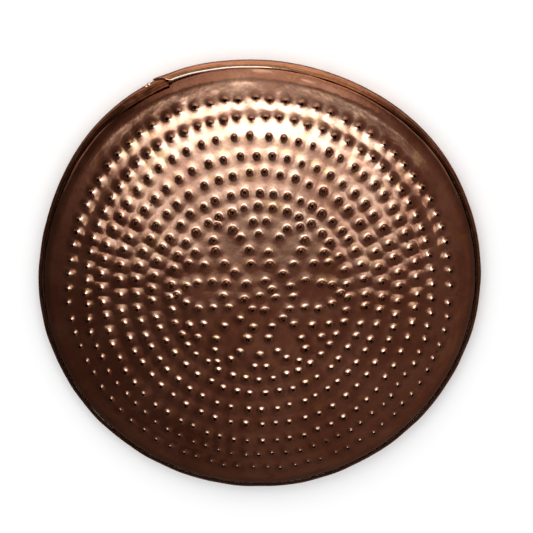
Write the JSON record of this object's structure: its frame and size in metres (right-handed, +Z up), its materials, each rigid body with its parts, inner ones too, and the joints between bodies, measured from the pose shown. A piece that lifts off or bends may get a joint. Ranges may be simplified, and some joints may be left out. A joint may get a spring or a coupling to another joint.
{
  "type": "kettledrum",
  "caption": "Shallow hammered copper kettledrum with a pierced, nippled bowl, a fixed skin head and a riveted hoop, lying bowl up on its hoop.",
  "frame": {"origin": "centre of the circle on which the counterhoop's foot rests", "axes": "+Z up the drum's axis, from the skin head to the top of the bowl; the lapped ends of the counterhoop lie on the +Y side, 117 degrees anticlockwise from +X"},
  "size_m": [0.508, 0.508, 0.0854],
  "materials": {
    "kettle_copper": "aged dark copper, hammered and worn to a soft shine",
    "hoop_copper": "aged copper, brighter along its edges",
    "rivet_copper": "worn copper",
    "iron": "dark forged iron",
    "skin": "smooth translucent calfskin"
  },
  "bodies": {
    "root": {"kettle": "kettle_copper", "edge_wire": "iron", "drumhead": "skin", "flesh_hoop": "iron", "flesh_hoop_rivets": "iron", "counterhoop": "hoop_copper", "lap_rivets": "rivet_copper"}
  },
  "joints": []
}
